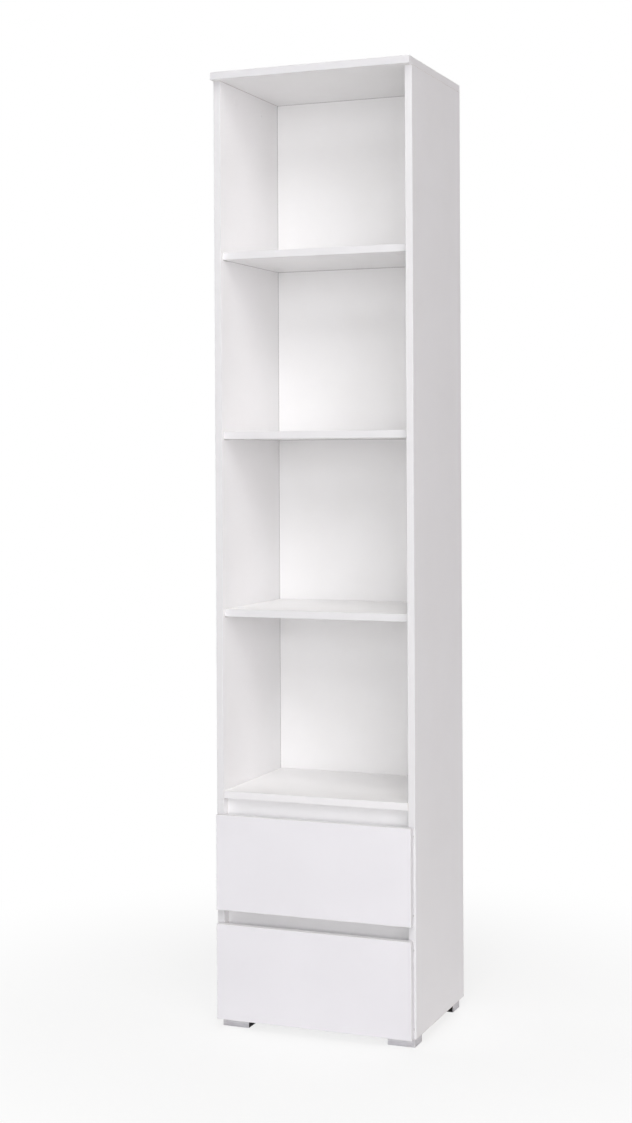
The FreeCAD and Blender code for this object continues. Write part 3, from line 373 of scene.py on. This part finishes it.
def chipboard_colour(shader):
    """Raw chipboard: light and dark flakes, pressed flat."""
    flakes = shader.cells(FLAKE, grain=FLAKE_GRAIN, output="Color")
    tone = shader.split(flakes)[0]
    specks = shader.noise(*SPECKS)
    flaky = shader.times(tone, FLAKE_SHARE)
    speckled = shader.times(specks, 1 - FLAKE_SHARE)
    return shader.mix(shader.math("ADD", flaky, speckled), *CHIP)


def core_amount(shader, depth, raw_faces):
    """Where chipboard shows: below the skin, as in a bore, and near the raw faces."""
    core = shader.step(depth, *SKIN_DEPTHS)
    for distance in raw_faces:
        core = shader.math("MAXIMUM", core, shader.step(distance, *RAW_FACE))
    return core


def crevice_amount(shader, planes, strength, far=CREVICE_FAR):
    """How dark the thin shadow lines are where other boards meet this one, at planes across an axis."""
    parts = (shader.x, shader.y, shader.z)
    gaps = []
    for axis, place in planes:
        gaps.append(shader.math("ABSOLUTE", shader.math("SUBTRACT", parts[axis], place)))
    return shader.step(shader.least(gaps), far, CREVICE_NEAR, 0.0, strength)


def undersides():
    """The planes of the undersides of the boards over the open bays, from the top down."""
    boards = ("top_board", "upper_shelf", "middle_shelf", "lower_shelf")
    return [(2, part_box(node)[0].z) for node in boards]


def side_lines(shader, panel_front, inner_distance):
    """The shadow lines on a side panel's inner face, under the top board and the shelves."""
    planes = undersides()
    near_front = shader.step(shader.y, panel_front + CORNER_END, panel_front + CORNER_START)
    wide = crevice_amount(shader, planes[1:], CORNER_STRENGTH, CORNER_WIDE)
    lines = crevice_amount(shader, planes, SIDE_CREVICE)
    lines = shader.math("MAXIMUM", lines, shader.times(wide, near_front))
    lines = shader.times(lines, shader.step(inner_distance, *INNER_FACE))
    shelf_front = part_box("upper_shelf")[0].y
    return shader.times(lines, shader.step(shader.y, shelf_front - BEHIND_FRONT, shelf_front))


def rub_amount(shader, edge, facts):
    """Where the arrises are rubbed: near a box's edges, in patches."""
    patches = shader.step(shader.noise(*facts["noise"]), *facts["range"])
    return shader.times(shader.step(edge, *facts["reach"]), patches)


def board_material(node, banded, raw=(), face=MELAMINE, band=BAND, inner=None):
    """White melamine-faced chipboard with banded edges; raw faces and the bores show its core."""
    low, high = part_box(node)
    corners = {-1: low, 1: high}
    shader = Shader(f"melamine_{node}")
    depth, edge = shader.box_depths(low, high)
    colour = shader.blend(shader.noise(*CLOUD), *face)
    band_distance = shader.least([shader.distance(axis, corners[sign]) for axis, sign in banded])
    on_band = shader.step(band_distance, BAND_THICK, BAND_THICK - SEAM_HALF)
    colour = shader.mix(on_band, colour, band)
    off_seam = shader.math("ABSOLUTE", shader.math("SUBTRACT", band_distance, BAND_THICK))
    seam = shader.step(off_seam, SEAM_HALF, 0.0)
    rub = rub_amount(shader, edge, BOARD_RUB)
    colour = shader.mix(shader.times(rub, BOARD_RUB_STRENGTH), colour, SCUFF)
    colour = shader.mix(shader.times(seam, SEAM_STRENGTH), colour, SEAM)
    # painted shadow lines on a side panel's inner face under the top board and the shelves
    if inner:
        inner_axis, inner_sign = inner
        inner_distance = shader.distance(inner_axis, corners[inner_sign])
        colour = shader.mix(side_lines(shader, low.y, inner_distance), colour, CREVICE)
    core = core_amount(shader, depth, [shader.distance(axis, corners[sign]) for axis, sign in raw])
    shader.set("Base Color", shader.mix(core, colour, chipboard_colour(shader)))
    rough = shader.rough(shader.noise(*DULL_PLACES), *BOARD_ROUGH)
    rough = shader.math("ADD", rough, shader.times(core, CORE_ROUGHER))
    rough = shader.math("ADD", rough, shader.times(rub, BOARD_RUB_ROUGHER))
    shader.set("Roughness", rough)
    grit = shader.times(core, shader.noise(*GRIT))
    peel, pearl = shader.noise(*PEEL), shader.noise(*PEARL)
    shader.bump((peel, PEEL_DEPTH), (pearl, PEARL_DEPTH), (seam, SEAM_DEPTH), (grit, GRIT_DEPTH))
    return shader.material


def foil_material(node):
    """Drawer boards wrapped in white foil along their length, with raw ends."""
    low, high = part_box(node)
    shader = Shader(f"foil_{node}")
    depth, edge = shader.box_depths(low, high)
    long_axis = max(range(3), key=lambda axis: high[axis] - low[axis])
    grain = tuple(ALONG_GRAIN if axis == long_axis else 1.0 for axis in range(3))
    streaks = shader.noise(*STREAKS, grain)
    rub = rub_amount(shader, edge, FOIL_RUB)
    colour = shader.mix(shader.times(rub, FOIL_RUB_STRENGTH), shader.blend(streaks, *FOIL), SCUFF)
    core = core_amount(shader, depth, [shader.distance(long_axis, end) for end in (low, high)])
    shader.set("Base Color", shader.mix(core, colour, chipboard_colour(shader)))
    rough = shader.rough(streaks, *FOIL_ROUGH)
    shader.set("Roughness", shader.math("ADD", rough, shader.times(core, CORE_ROUGHER)))
    grit = shader.times(core, shader.noise(*GRIT))
    peel = shader.noise(*FOIL_PEEL)
    shader.bump((streaks, STREAK_DEPTH), (peel, FOIL_PEEL_DEPTH), (grit, GRIT_DEPTH))
    return shader.material


def hardboard_material(node, shown, crevices=()):
    """Hardboard: one face lacquered white, the other face and the edges bare brown fibre."""
    axis, sign = shown
    shader = Shader(f"hardboard_{node}")
    part = shader.split(shader.normal)[axis]
    lacquered = shader.step(shader.times(part, float(sign)), *FACE_TURN)
    mottle = shader.noise(*MOTTLE)
    white = shader.blend(shader.noise(*LACQUER_CLOUD), *LACQUER)
    # painted shadow lines where the side panels and the boards meet the back panel
    if crevices:
        white = shader.mix(crevice_amount(shader, crevices, BACK_CREVICE), white, CREVICE)
    hairs = shader.cells(HAIR, "DISTANCE_TO_EDGE", HAIR_GRAIN)
    fibre = shader.math("ADD", shader.times(mottle, MOTTLE_SHARE), shader.times(hairs, HAIR_SHARE))
    brown = shader.blend(fibre, *FIBRE, FIBRE_RANGE)
    shader.set("Base Color", shader.mix(lacquered, brown, white))
    ends = []
    for bare, glossy in zip(BARE_ROUGH, LACQUER_ROUGH):
        ends.append(shader.math("SUBTRACT", bare, shader.times(lacquered, bare - glossy)))
    shader.set("Roughness", shader.step(mottle, *MOTTLE_RANGE, *ends))
    rough_side = shader.times(shader.math("SUBTRACT", 1.0, lacquered), fibre)
    peel = shader.noise(*LACQUER_PEEL)
    shader.bump((peel, LACQUER_PEEL_DEPTH), (rough_side, FIBRE_DEPTH))
    return shader.material


def paint(node, material):
    """Put one material in every slot of a CAD node."""
    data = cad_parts[node].data
    if not data.materials:
        data.materials.append(material)
    for index in range(len(data.materials)):
        data.materials[index] = material


def paint_boards():
    """Every board gets its own bands and raw faces."""
    sunk = [BACK, LEFT, RIGHT]
    # the side panels', shelves' and top board's bands are the darker copies of the band colour: painted
    # shade
    for side, inner in (("left", RIGHT), ("right", LEFT)):
        panel = f"side_panel_{side}"
        material = board_material(panel, [FRONT, BACK], [BELOW, ABOVE], band=SHADED_SIDE_BAND, inner=inner)
        paint(panel, material)
    paint("top_board", board_material("top_board", [FRONT, BACK], band=SHADED_TOP_BAND))
    for node in ("bottom_board", "drawer_deck"):
        paint(node, board_material(node, [FRONT], sunk))
    for node in ("lower_shelf", "middle_shelf", "upper_shelf"):
        paint(node, board_material(node, [FRONT], sunk, band=SHADED_SIDE_BAND))
    for drawer in ("lower", "upper"):
        rail = f"{drawer}_rail"
        # the rails take the lighter copy of the melamine: painted light
        paint(rail, board_material(rail, [BELOW, ABOVE], [LEFT, RIGHT], LIT_RAIL_MELAMINE))
        front = f"{drawer}_drawer_front"
        # the drawer fronts take the darker copy of the melamine: painted shade
        paint(front, board_material(front, [LEFT, RIGHT, BELOW, ABOVE], face=SHADED_FRONT_MELAMINE))
        for part in ("drawer_side_left", "drawer_side_right", "drawer_back"):
            paint(f"{drawer}_{part}", foil_material(f"{drawer}_{part}"))
        paint(f"{drawer}_drawer_bottom", hardboard_material(f"{drawer}_drawer_bottom", ABOVE))
    walls = [(0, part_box("side_panel_left")[1].x), (0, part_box("side_panel_right")[0].x)]
    paint("back_panel", hardboard_material("back_panel", FRONT, walls + undersides()))


paint_boards()


# ---------------------------------------------------------------------------------------------
# Fittings
# ---------------------------------------------------------------------------------------------
def moulded(light, dark, worn):
    """Moulded plastic: a fine spark-eroded texture, faint flow marks and rubbed patches."""
    return {
        "tone": {"noise": (14 * MM, 3.0, (1.0, 1.0, 0.5)), "range": TONE_RANGE, "ends": (light, dark)},
        "worn": {"noise": (5 * MM, 5.0), "range": (0.62, 0.74), "strength": 0.5, "colour": worn},
        "rough": {"noise": (3 * MM, 3.0), "ends": (0.38, 0.52)},
        "bumps": [((0.45 * MM, 2.0), 0.015 * MM)],
    }


# noises that a finish uses more than once
SCRATCHES = (1.2 * MM, 4.0, (1.0, 1.0, 0.15))
BRUSHED = (0.9 * MM, 4.0, (0.04, 0.04, 1.0))
WOOD_GRAIN = (1.6 * MM, 4.0, (0.08, 1.0, 1.0))
DUST = (1.5 * MM, 4.0)
# A finish's tone goes between two colours and its roughness between two values, each with a noise.
# Worn patches, where there are any, show a third colour. Bumps are noises with their depths. Sockets
# are plain values of the surface.
FINISHES = {
    # enamelled sheet steel with a light orange peel and rubbed patches
    "white_enamel": {
        "tone": {"noise": (30 * MM, 2.0), "range": TONE_RANGE,
                 "ends": ((0.780, 0.770, 0.745), (0.745, 0.735, 0.710))},
        "worn": {"noise": (9 * MM, 4.0), "range": (0.60, 0.74), "strength": 0.25,
                 "colour": (0.420, 0.410, 0.395)},
        "rough": {"noise": (6 * MM, 3.0), "ends": (0.25, 0.38)},
        "bumps": [((2.0 * MM, 2.0), 0.03 * MM), ((0.5 * MM, 2.0), 0.004 * MM)],
    },
    # milky nylon, a little see-through, with a fine mottle
    "white_nylon": {
        "tone": {"noise": (3 * MM, 3.0), "range": NOISE_RANGE,
                 "ends": ((0.800, 0.790, 0.750), (0.720, 0.705, 0.660))},
        "rough": {"noise": (1.5 * MM, 3.0), "ends": (0.34, 0.50)},
        "bumps": [((0.8 * MM, 2.0), 0.01 * MM)],
        "sockets": {"Subsurface Weight": 0.15, "Subsurface Radius": (2 * MM, 2 * MM, 1.6 * MM)},
    },
    # die-cast zinc: dull grey metal with a fine cast skin
    "cast_zinc": {
        "tone": {"noise": (1.6 * MM, 4.0), "range": NOISE_RANGE,
                 "ends": ((0.520, 0.520, 0.530), (0.380, 0.380, 0.385))},
        "rough": {"noise": (2.5 * MM, 3.0), "ends": (0.38, 0.58)},
        "bumps": [((0.5 * MM, 3.0), 0.02 * MM)],
        "sockets": {"Metallic": 1.0},
    },
    # bright zinc-plated steel with a faint colour play and fine scratches
    "plated_steel": {
        "tone": {"noise": (7 * MM, 3.0), "range": NOISE_RANGE,
                 "ends": ((0.640, 0.650, 0.680), (0.620, 0.600, 0.530))},
        "rough": {"noise": SCRATCHES, "ends": (0.22, 0.42)},
        "bumps": [(SCRATCHES, 0.008 * MM)],
        "sockets": {"Metallic": 1.0},
    },
    # the feet, and the caps on the cams, in the boards' white
    "black_plastic": moulded((0.020, 0.020, 0.022), (0.012, 0.012, 0.013), (0.060, 0.060, 0.062)),
    "white_caps": moulded((0.900, 0.893, 0.896), (0.885, 0.878, 0.880), (0.850, 0.842, 0.842)),
    # plastic trim with a satin aluminium look, brushed along its length
    "silver_plastic": {
        "tone": {"noise": BRUSHED, "range": NOISE_RANGE,
                 "ends": ((0.800, 0.795, 0.830), (0.680, 0.675, 0.705))},
        "worn": {"noise": (12 * MM, 3.0), "range": (0.60, 0.75), "strength": 0.4,
                 "colour": (0.520, 0.515, 0.535)},
        "rough": {"noise": BRUSHED, "ends": (0.30, 0.44)},
        "bumps": [(BRUSHED, 0.012 * MM)],
        "sockets": {"Metallic": 0.65},
    },
    # beech dowels: straight grain with small dark rays
    "beech": {
        "tone": {"noise": WOOD_GRAIN, "range": NOISE_RANGE,
                 "ends": ((0.620, 0.430, 0.265), (0.500, 0.320, 0.180))},
        "worn": {"cells": (1.8 * MM, "F1", (0.3, 1.0, 1.0)), "range": (0.08, 0.0), "strength": 0.6,
                 "colour": (0.300, 0.165, 0.080)},
        "rough": {"noise": WOOD_GRAIN, "ends": (0.50, 0.65)},
        "bumps": [(WOOD_GRAIN, 0.05 * MM)],
    },
    # clear soft plastic pads, slightly yellowed and dusty
    "clear_pads": {
        "tone": {"noise": DUST, "range": (0.4, 0.7),
                 "ends": ((0.900, 0.895, 0.870), (0.780, 0.770, 0.730))},
        "rough": {"noise": DUST, "ends": (0.18, 0.36)},
        "bumps": [((1.0 * MM, 2.0), 0.01 * MM)],
        "sockets": {"Transmission Weight": 0.6, "IOR": 1.49},
    },
}
# a word in a node's name and its finish; the first word that fits counts
FINISH_OF = {
    "foot_screws": "plated_steel", "foot_trim": "silver_plastic", "foot_": "black_plastic",
    "cabinet_roller": "white_nylon", "drawer_roller": "white_nylon",
    "runner_screws": "plated_steel", "back_screws": "plated_steel",
    "cabinet_runner": "white_enamel", "drawer_runner": "white_enamel",
    "cam_locks": "cast_zinc", "drawer_cams": "cast_zinc", "cam_caps": "white_caps",
    "bolts": "plated_steel", "dowels": "beech", "bumpers": "clear_pads",
}


def finish_material(name, tone, rough, bumps, worn=None, sockets=None):
    """A fitting's material from its finish."""
    shader = Shader(name)
    colour = shader.blend(shader.noise(*tone["noise"]), *tone["ends"], tone["range"])
    if worn:
        cells = "cells" in worn
        pattern = shader.cells(*worn["cells"]) if cells else shader.noise(*worn["noise"])
        amount = shader.times(shader.step(pattern, *worn["range"]), worn["strength"])
        colour = shader.mix(amount, colour, worn["colour"])
    shader.set("Base Color", colour)
    shader.set("Roughness", shader.rough(shader.noise(*rough["noise"]), *rough["ends"]))
    for socket, value in (sockets or {}).items():
        shader.set(socket, value)
    shader.bump(*[(shader.noise(*noise), depth) for noise, depth in bumps])
    return shader.material


def paint_fittings():
    """Hand out the finishes by the nodes' names."""
    materials = {name: finish_material(name, **facts) for name, facts in FINISHES.items()}
    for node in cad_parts:
        found = [finish for word, finish in FINISH_OF.items() if word in node]
        if found:
            paint(node, materials[found[0]])


paint_fittings()


# ---------------------------------------------------------------------------------------------
# Floor, backdrop, lights and view transform
# ---------------------------------------------------------------------------------------------
def make_floor():
    """A plain pale floor. To the camera it fades to white, but it lights the object as it is."""
    mesh = bpy.data.meshes.new("floor")
    made = bmesh.new()
    bmesh.ops.create_grid(made, x_segments=1, y_segments=1, size=FLOOR_SIZE / 2)
    made.to_mesh(mesh)
    made.free()
    floor = bpy.data.objects.new("floor", mesh)
    bpy.context.scene.collection.objects.link(floor)
    shader = Shader("pale_floor")
    shader.set("Base Color", shader.mix(shader.noise(FLOOR_CLOUD), FLOOR_LIGHT, FLOOR_DARK))
    shader.set("Roughness", FLOOR_ROUGH)
    away = shader.node("ShaderNodeVectorMath", operation="LENGTH")
    shader.feed(away.inputs[0], shader.place)
    seen = shader.node("ShaderNodeLightPath").outputs["Is Camera Ray"]
    whiteness = shader.step(away.outputs["Value"], *FLOOR_FADE, FLOOR_NEAR, 1.0)
    fade = shader.times(seen, whiteness)
    backdrop = shader.node("ShaderNodeEmission")
    blend = shader.node("ShaderNodeMixShader")
    shader.feed(blend.inputs[0], fade)
    shader.feed(blend.inputs[1], shader.surface.outputs[0])
    shader.feed(blend.inputs[2], backdrop.outputs[0])
    shader.feed(shader.tree.nodes["Material Output"].inputs["Surface"], blend.outputs[0])
    mesh.materials.append(shader.material)


make_floor()
make_backdrop()
for light_name, light_facts in LIGHTS.items():
    make_light(light_name, *light_facts)
bpy.context.scene.view_settings.view_transform = "Standard"
